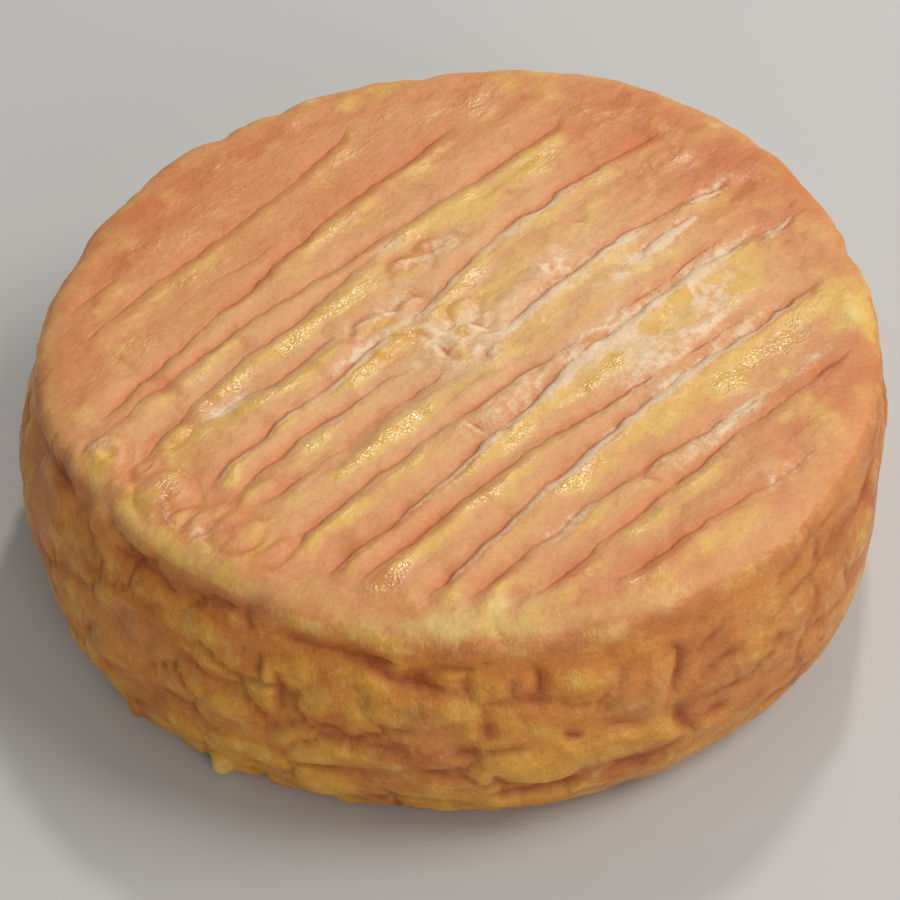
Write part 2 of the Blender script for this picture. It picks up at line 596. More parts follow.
@dataclass
class Body:
    """The smooth body of the cheese: a turned section on an uneven outline."""

    height: float = 32.0
    top_lean: float = 2.8
    flat_radius: float = 47.5
    shoulder_arc: float = 51.5
    lip_radius: float = 49.8
    centre_x: float = 1.50
    centre_y: float = -1.41
    two_lobes: float = 0.011
    three_lobes: float = 0.018
    three_lobe_angle: float = 21.5
    band_arc: float = 55.6
    band_half_width: float = 3.2
    band_depth: float = 1.0
    band_facing: float = 178.0
    soft_facing: float = 222.0
    soft_half_width: float = 75.0
    normal_step: float = 0.8
    spline_steps: int = 24
    curve: Array = field(init=False)
    soft_curve: Array = field(init=False)
    arcs: Array = field(init=False)

    def __post_init__(self) -> None:
        """Draw the section, with a full and a soft shoulder, and measure lengths along it."""
        section = (
            (0.0, 31.3), (18.0, 31.4), (36.0, 31.6), (45.8, 32.0), (self.lip_radius, 31.95),
            (51.8, 30.8), (52.5, 28.8), (53.0, 26.2), (54.0, 22.0), (54.8, 17.5), (54.8, 12.0),
            (53.9, 7.0), (52.2, 3.0), (50.4, 0.7), (self.flat_radius, 0.0),
        )
        soft_shoulder = ((45.8, 31.75), (49.2, 31.15), (51.5, 29.7), (52.5, 27.7), (53.1, 25.4))
        self.curve = self.spline(np.array(section))
        self.soft_curve = self.spline(np.array(section[:3] + soft_shoulder + section[8:]))
        steps = np.hypot(*np.diff(self.curve, axis=0).T)
        self.arcs = np.concatenate([[0.0], np.cumsum(steps)])

    @property
    def full_arc(self) -> float:
        """Return the section's length from the middle of the top to the underside."""
        return float(self.arcs[-1])

    def spline(self, points: Array) -> Array:
        """Return a smooth curve through the points.

        Args:
            points: Radius and height of each point.

        Returns:
            Radius and height along the curve.
        """
        p = np.vstack([2 * points[0] - points[1], points, 2 * points[-1] - points[-2]])
        t = np.linspace(0.0, 1.0, self.spline_steps, endpoint=False)[:, None]
        spans = []
        for a, b, c, d in zip(p[:-3], p[1:-2], p[2:-1], p[3:]):
            square = (2 * a - 5 * b + 4 * c - d) * t ** 2
            cube = (3 * b - a - 3 * c + d) * t ** 3
            spans.append(0.5 * (2 * b + (c - a) * t + square + cube))
        spans.append(p[-2][None])
        return np.vstack(spans)

    def outline(self, angle: Array) -> Array:
        """Return the factor by which the outline departs from a circle.

        Args:
            angle: Angle round the body in radians.

        Returns:
            The factor at each angle.
        """
        two = self.two_lobes * np.cos(2.0 * angle)
        three = self.three_lobes * np.cos(3.0 * (angle - math.radians(self.three_lobe_angle)))
        return 1.0 + two + three

    def section_at(self, arc: Array, soft: Array) -> tuple[Array, Array]:
        """Return radius and height on the section.

        Args:
            arc: Length along the section from the middle of the top.
            soft: How much of the soft shoulder is blended in.

        Returns:
            Radius and height of each point.
        """
        full = [np.interp(arc, self.arcs, column) for column in self.curve.T]
        softer = [np.interp(arc, self.arcs, column) for column in self.soft_curve.T]
        return (full[0] + soft * (softer[0] - full[0]), full[1] + soft * (softer[1] - full[1]))

    def place(self, arc: Array, angle: Array) -> tuple[Array, Array]:
        """Place points of the smooth body.

        Args:
            arc: Length along the section from the middle of the top.
            angle: Angle round the body in radians.

        Returns:
            The points and their outward normals, each with three columns.
        """
        degrees = np.degrees(angle)
        soft = facing(degrees, self.soft_facing, self.soft_half_width)
        radius, height = self.section_at(arc, soft)
        before, above = self.section_at(arc - self.normal_step, soft)
        after, below = self.section_at(arc + self.normal_step, soft)
        run = after - before
        fall = below - above
        length = np.maximum(np.hypot(run, fall), 1e-9)
        turned = 0.5 + 0.5 * np.cos(angle - math.radians(self.band_facing))
        band = near(arc, self.band_arc, self.band_half_width)
        radius = radius * self.outline(angle) - self.band_depth * band * turned ** 3
        outer = ramp((arc - 20.0) / 25.0)
        for swell in OUTLINE_SWELLS:
            rise = swell.rise * facing(degrees, swell.angle, swell.half_width)
            radius = radius + rise * near(height, swell.height, swell.half_height) * outer
        near_rim = near(arc, self.shoulder_arc, 3.0)
        for notch in RIM_NOTCHES:
            radius = radius - notch.amount * near_rim * facing(degrees, notch.angle, notch.half_width)
        x = radius * np.cos(angle) + self.top_lean * height / self.height
        y = radius * np.sin(angle)
        out = -fall / length
        normals = np.stack([out * np.cos(angle), out * np.sin(angle), run / length], axis=-1)
        return np.stack([x, y, height], axis=-1), normals


@dataclass
class Rind:
    """The rind: one closed mesh with its folds, and the masks of its finish."""

    body: Body
    cells_along: int = 210
    cells_across: int = 230
    wall_rings: int = 48
    base_share: int = 5
    around: float = math.radians(54.0)
    pull_arc: float = 50.5
    lip_arc: float = 50.4
    rim_arc: float = 48.5
    finish_arc: float = 49.8
    band_arc: float = 55.4
    seam: float = 148.0
    rack_pitch: float = 5.2
    rack_depth: float = 0.42
    base_inset: float = 0.985
    seed: int = 12
    noises: list[LatticeNoise] = field(init=False)
    cells: CellCracks = field(init=False)
    wall_cells: CellCracks = field(init=False)

    def __post_init__(self) -> None:
        """Seed the noises of the surface."""
        self.noises = [LatticeNoise(self.seed + n) for n in range(8)]
        self.cells = CellCracks(self.seed + 20, 6.6, 3.5)
        self.wall_cells = CellCracks(self.seed + 21, 9.0, 5.6, 40)

    def build(self) -> bpy.types.Object:
        """Return the rind as a mesh object with its masks.

        Returns:
            The mesh object.
        """
        square = self.square(self.cells_along, self.cells_across)
        portion, angle = self.disc(square)
        top_points, top_masks = self.top(portion * self.body.shoulder_arc, angle)

        ring_angles = angle[self.border(self.cells_along, self.cells_across)]
        count = len(ring_angles)
        share = np.arange(1, self.wall_rings + 1) / self.wall_rings
        arcs = self.body.shoulder_arc + (self.body.full_arc - self.body.shoulder_arc) * share ** 1.06
        wall_arc = np.repeat(arcs, count)
        wall_angle = np.tile(ring_angles, self.wall_rings)
        wall_points, wall_masks = self.wall(wall_arc, wall_angle)

        base_along = self.cells_along // self.base_share
        base_across = self.cells_across // self.base_share
        base_portion, base_angle = self.disc(self.square(base_along, base_across))
        base_points, base_masks = self.base(base_portion, base_angle)

        self.calm(top_masks, self.cells_along + 1)
        self.calm(wall_masks, self.wall_rings)
        points = np.vstack([top_points, wall_points, base_points])
        parts = (top_masks, wall_masks, base_masks)
        masks = {mask: np.concatenate([part[mask] for part in parts]) for mask in Mask}
        faces = self.faces(len(top_points), count, base_along, base_across)
        return self.write(points, faces, masks)

    @staticmethod
    def calm(masks: dict[Mask, Array], lines: int) -> None:
        """Take crease lines away where the nearest crease changes from one point to the next.

        Args:
            masks: The masks of a grid of points, changed in place.
            lines: Number of rows of the grid.
        """
        side = masks[Mask.SIDE].reshape(lines, -1)
        jump = np.zeros(side.shape, bool)
        for axis in (0, 1):
            change = np.abs(np.roll(side, -1, axis) - side) > 1.1
            jump |= change | np.roll(change, 1, axis)
        for axis in (0, 1):
            jump = jump | np.roll(jump, 1, axis) | np.roll(jump, -1, axis)
        for mask in (Mask.LINE, Mask.EDGE):
            masks[mask] = np.where(jump.ravel(), 0.0, masks[mask])

    @staticmethod
    def square(along: int, across: int) -> Array:
        """Return the points of a grid over the square from -1 to 1.

        Args:
            along: Cells along the first axis.
            across: Cells along the second axis.

        Returns:
            The points, one row for each.
        """
        a = np.linspace(-1.0, 1.0, along + 1)
        b = np.linspace(-1.0, 1.0, across + 1)
        return np.stack(np.meshgrid(a, b, indexing="ij"), axis=-1).reshape(-1, 2)

    @staticmethod
    def disc(square: Array) -> tuple[Array, Array]:
        """Return radius from 0 to 1 and angle for points of the square.

        Args:
            square: Points of the square from -1 to 1.

        Returns:
            Radius and angle of each point on the disc.
        """
        a, b = square.T
        x = a * np.sqrt(1.0 - 0.5 * b * b)
        y = b * np.sqrt(1.0 - 0.5 * a * a)
        return np.minimum(np.hypot(x, y), 1.0), np.arctan2(y, x)

    @staticmethod
    def border(along: int, across: int) -> Array:
        """Return the grid's edge points in order, anticlockwise from a corner.

        Args:
            along: Cells along the first axis.
            across: Cells along the second axis.

        Returns:
            The numbers of the points.
        """
        row = across + 1
        south = np.arange(along) * row
        east = along * row + np.arange(across)
        north = np.arange(along, 0, -1) * row + across
        west = np.arange(across, 0, -1)
        return np.concatenate([south, east, north, west])

    @staticmethod
    def grid_faces(along: int, across: int, start: int, upward: bool) -> Faces:
        """Return the four-sided faces of a grid.

        Args:
            along: Cells along X.
            across: Cells along Y.
            start: Number of the grid's first point.
            upward: Whether the faces look up.

        Returns:
            The faces as tuples of point numbers.
        """
        i, j = np.meshgrid(np.arange(along), np.arange(across), indexing="ij")
        corner = (start + i * (across + 1) + j).ravel()
        row = across + 1
        quads = [corner, corner + row, corner + row + 1, corner + 1]
        if not upward:
            quads.reverse()
        return [tuple(quad) for quad in np.stack(quads, axis=-1).tolist()]

    def faces(self, wall_start: int, count: int, base_along: int, base_across: int) -> Faces:
        """Return all faces of the closed rind.

        Args:
            wall_start: Number of the wall's first point.
            count: Points in a ring of the wall.
            base_along: Cells of the underside along X.
            base_across: Cells of the underside along Y.

        Returns:
            The faces as tuples of point numbers.
        """
        faces = self.grid_faces(self.cells_along, self.cells_across, 0, True)
        upper = self.border(self.cells_along, self.cells_across)
        for ring in range(self.wall_rings):
            lower = wall_start + ring * count + np.arange(count)
            quads = np.stack([upper, lower, np.roll(lower, -1), np.roll(upper, -1)], axis=-1)
            faces.extend(tuple(quad) for quad in quads.tolist())
            upper = lower
        base_start = wall_start + self.wall_rings * count
        inner = base_start + self.border(base_along, base_across)
        for n, start in enumerate(inner.tolist()):
            end = int(inner[(n + 1) % len(inner)])
            outer = [int(upper[(n * self.base_share + k) % count]) for k in range(self.base_share + 1)]
            faces.append((outer[0], start, outer[1]))
            faces.append((outer[1], start, end))
            faces.extend((outer[k], end, outer[k + 1]) for k in range(1, self.base_share))
        faces.extend(self.grid_faces(base_along, base_across, base_start, False))
        return faces

    def rim_share(self, arc: Array) -> Array:
        """Return how much of the wall's relief counts at each point."""
        return ramp((arc - self.rim_arc) / 5.0)

    def wall_share(self, arc: Array) -> Array:
        """Return how much of the wall's colours counts at each point."""
        return ramp((arc - self.finish_arc) / 5.0)

    def top(self, arc: Array, angle: Array) -> tuple[Array, dict[Mask, Array]]:
        """Shape the top of the rind.

        Args:
            arc: Length along the section of each point.
            angle: Angle of each point in radians.

        Returns:
            The points in millimetres and their masks.
        """
        place, normals = self.body.place(arc, angle)
        inside = ramp((self.pull_arc - arc) / 4.0)
        folds = CreaseField(TOP_CREASES, self.seed)
        cracks = CreaseField(TOP_CRACKS, self.seed + 1, gentle=1.3, steep=0.9, fade=3.0, wander=0.12,
                             lip_rise=0.30)
        for creases in (folds, cracks):
            marks = creases.read(*self.warped(place))
            place[:, 0] -= marks.pull_x * inside
            place[:, 1] -= marks.pull_y * inside
        warped = self.warped(place)
        marks = folds.read(*warped)
        cross = cracks.read(*warped)
        cracked = self.cracked(place)
        relief, shade = self.top_relief(place, marks, cross, cracked)
        on_top = ramp((self.body.shoulder_arc - arc) / 4.5)
        rim = self.wall_relief(np.degrees(angle), place)[0] * self.rim_share(arc)
        stand = relief * on_top + rim
        masks = self.top_masks(place, arc, angle, marks, cross, shade, cracked)
        return place + normals * stand[:, None], masks

    def cracked(self, place: Array) -> tuple[Array, Array, Array, Array]:
        """Work out where small cracks and ringed lumps lie.

        Args:
            place: X, Y and Z of each point.

        Returns:
            How cracked the rind is, the distance to the nearest such crack, the rise of
            the ringed lumps and the strength of their furrows.
        """
        flat = place * FLAT
        x, y, _ = place.T
        shift = 0.8 * self.noises[4].at(flat, (2.6, 2.0, 1.0))
        lift = 0.5 * self.noises[3].at(flat, (3.4, 2.6, 1.0))
        border = self.cells.at(x + shift, y + lift)
        rise, furrow = ringed_sum(x + 0.8 * shift, y + 1.2 * lift, RINGED_LUMPS)
        return ramp(1.1 * patch_sum(x, y, CRACKED_ZONES)), border, rise, furrow

    def warped(self, place: Array) -> tuple[Array, Array]:
        """Return X and Y of places moved a little, so that no fold runs quite straight.

        Args:
            place: X, Y and Z of each point.

        Returns:
            X and Y of the moved points.
        """
        flat = place * FLAT
        shift_x = 0.4 * self.noises[0].at(flat, (7.0, 4.0, 1.0))
        shift_y = 0.34 * self.noises[1].at(flat, (4.2, 4.0, 1.0))
        shift_y = shift_y + 0.17 * self.noises[2].at(flat, (1.7, 2.4, 1.0))
        return place[:, 0] + shift_x, place[:, 1] + shift_y

    def top_relief(self, place: Array, marks: CreaseMarks, cross: CreaseMarks,
                   cracked: tuple[Array, Array, Array, Array]) -> tuple[Array, Array]:
        """Work out how far the top stands out from the smooth body.

        Args:
            place: X, Y and Z of each point.
            marks: Marks of the long folds.
            cross: Marks of the short cracks.
            cracked: The small cracks and ringed lumps, as cracked returns them.

        Returns:
            The relief in millimetres, and the part of it that comes from small lumps.
        """
        n = self.noises
        x, y, _ = place.T
        relief = 0.82 * (marks.lip - marks.cut) + 1.15 * (cross.lip - cross.cut)
        relief += lump_sum(x, y, TOP_LUMPS)
        zone, border, rise, furrow = cracked
        dip = np.maximum(0.34 * zone * np.exp(-border / 0.30), 0.28 * furrow)
        dip = dip * (1.0 - 0.8 * ramp(np.maximum(marks.cut, cross.cut) / 0.4))
        relief += 0.36 * zone * (1.0 - np.exp(-border / 0.9)) + rise - dip
        relief += 0.20 * n[3].at(place, (9.0, 3.2, 9.0))
        lumps = 0.15 * n[4].at(place, (3.8, 2.1, 9.0)) + 0.05 * n[5].at(place, (1.9, 1.2, 9.0))
        still = 0.35 + 0.65 * ramp((24.0 - y) / 10.0)
        relief += lumps * still
        relief += 0.03 * n[6].at(place, (0.95, 0.75, 9.0))
        outer = ramp((np.hypot(x, y) - 41.0) / 4.0)
        blotch = 0.16 * n[0].at(place, (3.4, 3.0, 9.0))
        relief += outer * (blotch + 0.08 * n[1].at(place, (1.7, 1.5, 9.0)))
        wrinkle = n[7].at(place, (5.0, 2.0, 9.0))
        relief -= 0.10 * still * np.exp(-np.abs(wrinkle) / 0.12)
        return relief, lumps * still

    def top_masks(self, place: Array, arc: Array, angle: Array, marks: CreaseMarks, cross: CreaseMarks,
                  lumps: Array, cracked: tuple[Array, Array, Array, Array]) -> dict[Mask, Array]:
        """Work out the masks of the finish on the top.

        Args:
            place: X, Y and Z of each point.
            arc: Length along the section of each point.
            angle: Angle of each point in radians.
            marks: Marks of the long folds.
            cross: Marks of the short cracks.
            lumps: Relief of the small lumps.
            cracked: The small cracks and ringed lumps, as cracked returns them.

        Returns:
            One array for each mask.
        """
        n = self.noises
        x, y, _ = place.T
        cloud = n[3].at(place, (5.0, 2.6, 5.0))
        grain = n[5].at(place, (1.5, 0.8, 3.0))
        fine = n[6].at(place, (0.7, 0.6, 3.0))
        blotch = n[0].at(place, (3.4, 3.0, 9.0))
        zone, border, _, furrow = cracked
        rims = zone * near(border, 0.40, 0.35)
        crest = ramp((0.34 - np.maximum(marks.cut, cross.cut)) / 0.34)
        front_edge = near(x, -6.0, 14.0) * near(y, -46.0, 6.0)
        outer = ramp((arc - 41.0) / 4.0) * (1.0 - 0.6 * front_edge)

        middle = near(x, -6.0, 42.0) * near(y, -8.0, 30.0)
        crown = marks.crown * (0.25 + 0.75 * middle)
        still = 1.0 - 0.75 * np.maximum(ramp((y - 20.0) / 12.0), ramp((x - 32.0) / 10.0))
        still = still * (1.0 - 0.5 * ramp((arc - 40.0) / 5.0)) * (1.0 - 0.6 * front_edge)
        ochre = 0.75 * patch_sum(x, y, OCHRE_PATCHES) + 0.50 * crown + 0.14
        ochre += still * (0.34 * cloud + 1.0 * lumps + 0.22 * grain)
        ochre = ochre + 0.55 * zone * ramp((border - 0.4) / 0.7)

        bloom = 1.1 * patch_sum(x, y, BLOOM_PATCHES) * (0.85 + 0.5 * grain + 0.25 * fine) + 0.60 * rims
        bloom += 0.15 * near(x, 21.0, 16.0) * near(y, -14.0, 13.0)
        bloom = bloom * (1.0 - 0.75 * ramp((ochre * crest - 0.45) / 0.4))
        veil = 0.06 + 0.80 * near(x, 7.0, 27.0) * near(y, -3.0, 19.0)
        veil = veil + 0.22 * near(x, -30.0, 18.0) * near(y, 14.0, 18.0)
        fringe = bell(marks.side / 1.3) + 0.8 * rims
        veil = veil * (0.45 + 0.75 * fringe + 0.4 * grain + 0.3 * cloud)
        veil = veil * ramp((36.0 - y) / 20.0) * ramp((41.0 - x) / 18.0)
        ochre = ochre + 0.22 * middle * (1.0 - unit(fringe))

        side, line, edge = marks.nearer(cross)
        bloomy = ramp((np.hypot((x - 6.0) / 1.25, y + 12.0) - 40.0) / -22.0)
        warm = np.maximum(marks.warm, 0.8 * cross.warm) + 0.12 * (1.0 - crest)
        warm = warm + 0.7 * zone * np.exp(-border / 0.22) + 0.55 * furrow
        pink = patch_sum(x, y, PINK_PATCHES) + 0.10 + 0.22 * grain + outer * (0.22 - 0.30 * blotch)
        lip_line = self.lip_line(arc, np.degrees(angle), cloud)
        wet = unit(0.9 * patch_sum(x, y, WET_PATCHES) + 0.30 + 0.35 * cloud) * crest
        return {
            Mask.OCHRE: unit(ochre * crest + outer * (0.26 * blotch - 0.02)),
            Mask.WARM: unit(warm),
            Mask.SIDE: side,
            Mask.LINE: unit(line),
            Mask.EDGE: unit(edge * (0.70 + 0.50 * bloomy)),
            Mask.BLOOM: unit(bloom),
            Mask.VEIL: unit(veil * (1.0 - 0.6 * ramp(ochre * crest))),
            Mask.PINK: unit(pink),
            Mask.CREAM: unit(patch_sum(x, y, CREAM_SPOTS) * (0.9 + 0.4 * fine) + lip_line * 0.6),
            Mask.WALL: self.wall_share(arc),
            Mask.BROWN: np.zeros_like(x),
            Mask.WET: wet * (1.0 - 0.25 * ramp((arc - 44.0) / 5.0)),
        }

    def lip_line(self, arc: Array, degrees: Array, cloud: Array) -> Array:
        """Return how pale the rounded lip is.

        Args:
            arc: Length along the section of each point.
            degrees: Angle round the body.
            cloud: Noise that breaks the line up.

        Returns:
            The paleness at each point.
        """
        amount = sum(spot.amount * facing(degrees, spot.angle, spot.half_width) for spot in PALE_LIP)
        across = bell((arc - self.lip_arc - 0.9 * cloud) / 1.1)
        return unit(across * amount * (0.75 + 0.6 * cloud))

    def wall(self, arc: Array, angle: Array) -> tuple[Array, dict[Mask, Array]]:
        """Shape the wall of the rind.

        Args:
            arc: Length along the section of each point.
            angle: Angle of each point in radians.

        Returns:
            The points in millimetres and their masks.
        """
        place, normals = self.body.place(arc, angle)
        degrees = np.degrees(angle) % 360.0
        relief, marks = self.wall_relief(degrees, place)
        foot = ramp((self.body.full_arc - 0.6 - arc) / 3.5)
        stand = relief * foot * self.rim_share(arc)
        points = place + normals * stand[:, None]
        points[:, 2] = np.maximum(points[:, 2], 0.0)
        return points, self.wall_masks(place, arc, degrees, marks, relief)

    def wall_relief(self, degrees: Array, place: Array) -> tuple[Array, CreaseMarks]:
        """Work out how far the wall stands out from the smooth body.

        Args:
            degrees: Angle round the body.
            place: X, Y and Z of each point.

        Returns:
            The relief in millimetres, and the marks of the wall's creases.
        """
        n = self.noises
        z = place[:, 2]
        turned = (degrees - self.seam) % 360.0 + self.seam
        shift = 0.9 * n[0].at(place, (6.0, 6.0, 4.0))
        lift = 0.45 * n[1].at(place, (5.0, 5.0, 4.0)) + 0.15 * n[2].at(place, (1.8, 1.8, 1.6))
        creases = WALL_CREASES + self.hidden_creases()
        folds = CreaseField(creases, self.seed + 3, gentle=1.15, steep=0.6, fade=4.0,
                            stretch=self.around, wander=0.20, lip_rise=0.50, warm_width=0.9)
        marks = folds.read(turned + shift, z + lift)
        rough = 0.65 + 0.75 * facing(degrees, 200.0, 34.0) - 0.25 * facing(degrees, 285.0, 30.0)
        lumpy = 0.36 * n[3].at(place, (8.0, 8.0, 5.0))
        lumpy += 0.30 * n[4].at(place, (4.4, 4.4, 2.8))
        lumpy += 0.12 * n[5].at(place, (2.0, 2.0, 1.3))
        lumpy -= 0.13 * np.exp(-np.abs(n[2].at(place, (4.4, 4.4, 2.8))) / 0.11)
        border, strength = self.wall_borders(place, degrees)
        lumpy += strength * (0.42 * (1.0 - np.exp(-border / 1.1)) - 0.30 * np.exp(-border / 0.30))
        relief = 1.35 * (marks.lip - marks.cut) + 1.1 * lump_sum(turned, z, WALL_LUMPS) + rough * lumpy
        relief += 0.03 * n[6].at(place, (0.8, 0.8, 0.7))
        return relief, marks

    def wall_borders(self, place: Array, degrees: Array) -> tuple[Array, Array]:
        """Work out the borders between the lumps of the wall.

        Args:
            place: X, Y and Z of each point.
            degrees: Angle round the body.

        Returns:
            The distance to the nearest border, and how strongly it shows.
        """
        n = self.noises
        turn = 2.2 * n[5].at(place, (5.5, 5.5, 4.0)) + 0.5 * n[2].at(place, (1.7, 1.7, 1.4))
        lift = 1.1 * n[6].at(place, (5.0, 5.0, 4.0)) + 0.3 * n[1].at(place, (1.7, 1.7, 1.4))
        border = self.wall_cells.at(degrees + turn, place[:, 2] + lift)
        return border, ramp(0.50 + 1.1 * n[7].at(place, (6.0, 6.0, 4.5)))

    def hidden_creases(self) -> tuple[Crease, ...]:
        """Return creases for the far side of the wall, laid out by a seeded rule.

        Returns:
            The creases, by angle and height.
        """
        rng = np.random.default_rng(self.seed)
        creases = []
        for angle in np.arange(300.0, 500.0, 7.0):
            start = angle + rng.uniform(-2.0, 2.0)
            height = rng.uniform(6.0, 25.0)
            bow = rng.uniform(-0.9, 0.9)
            depth = rng.uniform(0.40, 0.80)
            if rng.random() < 0.6:
                end = (start + rng.uniform(6.0, 16.0), height + rng.uniform(-2.5, 2.5))
            else:
                height = 26.5
                end = (start + rng.uniform(-3.0, 3.0), rng.uniform(12.0, 19.0))
            creases.append(Crease(start, height, end[0], end[1], bow, 0.0, depth, depth))
        return tuple(creases)

    def wall_masks(self, place: Array, arc: Array, degrees: Array, marks: CreaseMarks,
                   relief: Array) -> dict[Mask, Array]:
        """Work out the masks of the finish on the wall.

        Args:
            place: X, Y and Z of each point.
            arc: Length along the section of each point.
            degrees: Angle round the body.
            marks: Marks of the wall's creases.
            relief: Relief in millimetres.

        Returns:
            One array for each mask.
        """
        n = self.noises
        z = place[:, 2]
        cloud = n[3].at(place, (7.0, 7.0, 5.0))
        grain = n[5].at(place, (2.0, 2.0, 1.4))
        fine = n[6].at(place, (0.8, 0.8, 0.7))
        border, strength = self.wall_borders(place, degrees)
        band = near(arc, self.band_arc, 2.4) * (0.35 + 0.65 * facing(degrees, 180.0, 42.0))
        lip_line = self.lip_line(arc, degrees, n[3].at(place, (5.0, 2.6, 5.0)))
        pale_foot = near(z, 4.5, 4.0) * 0.55
        sunlit = facing(degrees, 245.0, 9.0) * near(z, 14.0, 5.0)
        ochre = 0.22 + 0.45 * cloud + 0.6 * ramp(relief / 0.8) + 0.35 * grain + pale_foot
        warm = marks.warm + 0.75 * strength * np.exp(-border / 0.35) + 0.35 * ramp(-relief / 0.6)
        pink = 0.5 * facing(degrees, 255.0, 4.0) * near(z, 19.5, 4.0) + 0.6 * ramp(cloud * -1.8)
        drip = facing(degrees, 191.6, 1.6) * near(z, 2.0, 2.0)
        specks = ramp((fine - 0.35) / 0.25) * ramp((relief + 0.2) / 0.5)
        wet = 0.28 + 0.20 * facing(degrees, 245.0, 35.0) + 0.5 * grain - 0.5 * marks.cut
        none = np.zeros_like(z)
        return {
            Mask.OCHRE: unit(ochre + 0.4 * sunlit - 1.2 * marks.cut),
            Mask.WARM: unit(warm),
            Mask.SIDE: marks.side,
            Mask.LINE: unit(marks.line),
            Mask.EDGE: none,
            Mask.BLOOM: unit(0.06 * (fine + grain)),
            Mask.VEIL: none,
            Mask.PINK: unit(pink + 0.75 * facing(degrees, 275.0, 38.0)),
            Mask.CREAM: unit(lip_line * 0.6 + 0.8 * drip + 0.30 * specks),
            Mask.WALL: self.wall_share(arc),
            Mask.BROWN: unit(band * (0.8 + 0.4 * grain)),
            Mask.WET: unit(wet),
        }

    def base(self, portion: Array, angle: Array) -> tuple[Array, dict[Mask, Array]]:
        """Shape the underside, which carries the same rack marks, pressed flat.

        Args:
            portion: Part of the way from the middle to the edge.
            angle: Angle of each point in radians.

        Returns:
            The points in millimetres and their masks.
        """
        n = self.noises
        edge, _ = self.body.place(np.full_like(angle, self.body.full_arc), angle)
        place = edge * FLAT * portion[:, None] * self.base_inset
        warped = np.stack([*self.warped(place), np.zeros_like(portion)], axis=-1)
        swing = warped[:, 1] + 0.9 * np.sin(warped[:, 0] / 17.0)
        swing += 0.5 * n[3].at(warped, (11.0, 6.0, 1.0))
        groove = np.abs((swing / self.rack_pitch) % 1.0 - 0.5) * 2.0
        cut = np.exp(-(1.0 - groove) / 0.20)
        flat = ramp((1.0 - portion) / 0.10)
        rise = self.rack_depth * cut * flat * (0.75 + 0.35 * n[4].at(place, (9.0, 4.0, 1.0)))
        rise = rise + 0.10 * np.maximum(n[5].at(place, (6.0, 3.0, 1.0)), 0.0) * flat
        cloud = n[6].at(place, (6.0, 3.0, 1.0))
        masks = {mask: np.zeros_like(portion) for mask in Mask}
        masks[Mask.OCHRE] = unit(0.35 + 0.5 * cloud - 0.5 * cut)
        masks[Mask.WARM] = 0.7 * cut
        masks[Mask.WALL] = np.full_like(portion, 0.7)
        masks[Mask.WET] = np.full_like(portion, 0.2)
        place[:, 2] = np.maximum(rise, 0.0)
        return place, masks

    def write(self, points: Array, faces: Faces, masks: dict[Mask, Array]) -> bpy.types.Object:
        """Write the mesh and its masks.

        Args:
            points: The points in millimetres, about the axis of the section.
            faces: The faces as tuples of point numbers.
            masks: One array for each mask.

        Returns:
            The mesh object.
        """
        centred = (points - np.array([self.body.centre_x, self.body.centre_y, 0.0])) * MM
        mesh = bpy.data.meshes.new("rind")
        mesh.from_pydata(centred.tolist(), [], faces)
        mesh.update()
        for mask, values in masks.items():
            layer = mesh.attributes.new(mask.value, "FLOAT", "POINT")
            layer.data.foreach_set("value", values.astype(np.float32))
        mesh.shade_smooth()
        rind = bpy.data.objects.new("rind", mesh)
        bpy.context.scene.collection.objects.link(rind)
        LOG.info("rind: %d points, %d faces", len(points), len(faces))
        return rind


Colour = tuple[float, float, float, float]


def screen(red: int, green: int, blue: int) -> Colour:
    """Return the linear colour, with full alpha, of a colour as a screen shows it.

    Args:
        red: Red from 0 to 255.
        green: Green from 0 to 255.
        blue: Blue from 0 to 255.

    Returns:
        Red, green, blue and alpha from 0 to 1.
    """
    parts = []
    for part in (red, green, blue):
        value = part / 255.0
        parts.append(value / 12.92 if value <= 0.04045 else ((value + 0.055) / 1.055) ** 2.4)
    return parts[0], parts[1], parts[2], 1.0


@dataclass(frozen=True)
class Socket:
    """A shader value that can be used in sums, and adds its Math nodes."""

    graph: "Graph"
    link: Any

    def math(self, operation: str, left: Any, right: Any) -> "Socket":
        """Return the result of a Math node on two values."""
        node = self.graph.node("ShaderNodeMath", {"operation": operation}, {0: left, 1: right})
        return Socket(self.graph, node.outputs[0])

    def __add__(self, other: Any) -> "Socket":
        """Return this value plus another."""
        return self.math("ADD", self, other)

    def __radd__(self, other: Any) -> "Socket":
        """Return another value plus this one."""
        return self.math("ADD", other, self)

    def __sub__(self, other: Any) -> "Socket":
        """Return this value less another."""
        return self.math("SUBTRACT", self, other)

    def __rsub__(self, other: Any) -> "Socket":
        """Return another value less this one."""
        return self.math("SUBTRACT", other, self)

    def __mul__(self, other: Any) -> "Socket":
        """Return this value times another."""
        return self.math("MULTIPLY", self, other)

    def __rmul__(self, other: Any) -> "Socket":
        """Return another value times this one."""
        return self.math("MULTIPLY", other, self)

    def size(self) -> "Socket":
        """Return the value without its sign."""
        node = self.graph.node("ShaderNodeMath", {"operation": "ABSOLUTE"}, {0: self})
        return Socket(self.graph, node.outputs[0])

    def ramp(self, low: float, high: float) -> "Socket":
        """Return a smooth step from 0 to 1 between two values."""
        node = self.graph.node("ShaderNodeMapRange", {"interpolation_type": "SMOOTHSTEP"},
                               {"Value": self, "From Min": low, "From Max": high})
        return Socket(self.graph, node.outputs["Result"])


